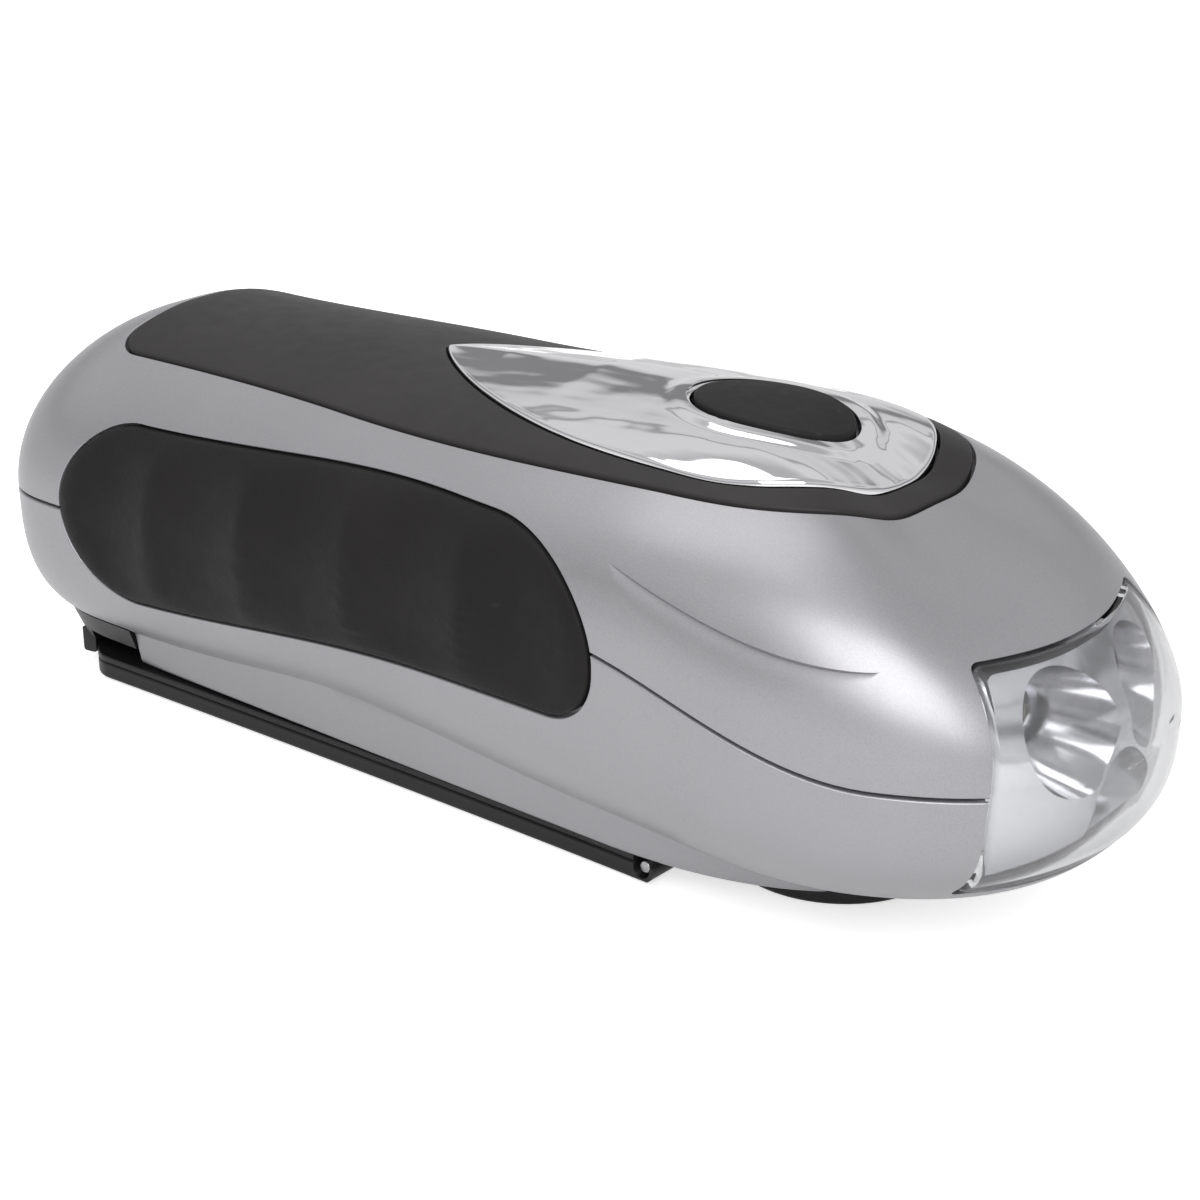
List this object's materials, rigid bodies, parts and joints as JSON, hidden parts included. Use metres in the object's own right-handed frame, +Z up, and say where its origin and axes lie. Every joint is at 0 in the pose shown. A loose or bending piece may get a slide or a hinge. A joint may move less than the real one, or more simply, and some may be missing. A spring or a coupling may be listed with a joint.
{
  "type": "hand-crank rechargeable flashlight",
  "caption": "Hand-held torch with silver clamshell body, rubber side grips, oval push button, clear front lens and a folding winding lever underneath.",
  "frame": {"origin": "centre of the bounding box's bottom face, under the middle of the body and level with the underside of the folded lever", "axes": "+X along the body towards the lens, +Y across it, +Z up through the button"},
  "size_m": [0.132, 0.0518, 0.0435],
  "materials": {
    "silver_paint": "silver metallic paint",
    "black_plastic": "satin moulded",
    "grip_rubber": "matt",
    "inlay_rubber": "matt",
    "bezel_chrome": "polished plating",
    "button_rubber": "matt",
    "lens_plastic": "clear polished",
    "reflector_mirror": "bright metallised",
    "led_resin": "clear resin",
    "board_green": "solder mask",
    "battery_sleeve": "shrink sleeve",
    "gear_nylon": "moulded",
    "magnet_ferrite": "sintered",
    "steel": "plain",
    "coil_copper": "enamelled wire"
  },
  "bodies": {
    "housing": {"upper_shell": "silver_paint", "lower_shell": "silver_paint", "grip_left": "grip_rubber", "grip_right": "grip_rubber", "top_inlay": "inlay_rubber", "button_bezel": "bezel_chrome", "front_lens": "lens_plastic", "reflector": "reflector_mirror", "led_left": "led_resin", "led_right": "led_resin", "led_low": "led_resin", "led_board": "board_green", "tail_block": "black_plastic", "housing_screw_1": "steel", "housing_screw_2": "steel", "housing_screw_3": "steel", "housing_screw_4": "steel", "main_board": "board_green", "tact_switch": "black_plastic", "battery_pack": "battery_sleeve", "gear_plate": "steel", "stator_core": "steel", "generator_coil": "coil_copper"},
    "crank": {"crank_hub": "black_plastic", "hub_screw": "steel", "hinge_pin": "steel", "drive_gear": "gear_nylon"},
    "lever": {"crank_lever": "black_plastic", "knob_rivet": "steel"},
    "knob": {"winding_knob": "black_plastic"},
    "button": {"power_button": "button_rubber"},
    "idler": {"idler_gear": "gear_nylon"},
    "rotor": {"rotor_pinion": "gear_nylon", "rotor_magnet": "magnet_ferrite"}
  },
  "joints": [
    {"name": "crank_spin", "type": "hinge", "parent": "housing", "child": "crank", "pos_m": [0.0348, 0, 0.005], "axis": [0, 0, 1], "continuous": true},
    {"name": "crank_fold", "type": "hinge", "parent": "crank", "child": "lever", "pos_m": [0.0244, 0, 0.00135], "axis": [0, -1, 0], "range_deg": [0, 180]},
    {"name": "knob_spin", "type": "hinge", "parent": "lever", "child": "knob", "pos_m": [-0.0521, 0, 0.0027], "axis": [0, 0, 1], "continuous": true},
    {"name": "button_press", "type": "slide", "parent": "housing", "child": "button", "axis": [0, 0, -1], "range_m": [0, 0.0008], "stiffness_N_per_m": 600, "springref_m": -0.0002},
    {"name": "idler_spin", "type": "hinge", "parent": "housing", "child": "idler", "pos_m": [0.0204, 0, 0.009], "axis": [0, 0, 1], "continuous": true},
    {"name": "rotor_spin", "type": "hinge", "parent": "housing", "child": "rotor", "pos_m": [0.006, 0, 0.012], "axis": [0, 0, 1], "continuous": true}
  ],
  "couplings": [
    {"joint": "idler_spin", "follows": "crank_spin", "ratio": -3},
    {"joint": "rotor_spin", "follows": "crank_spin", "ratio": 9}
  ]
}
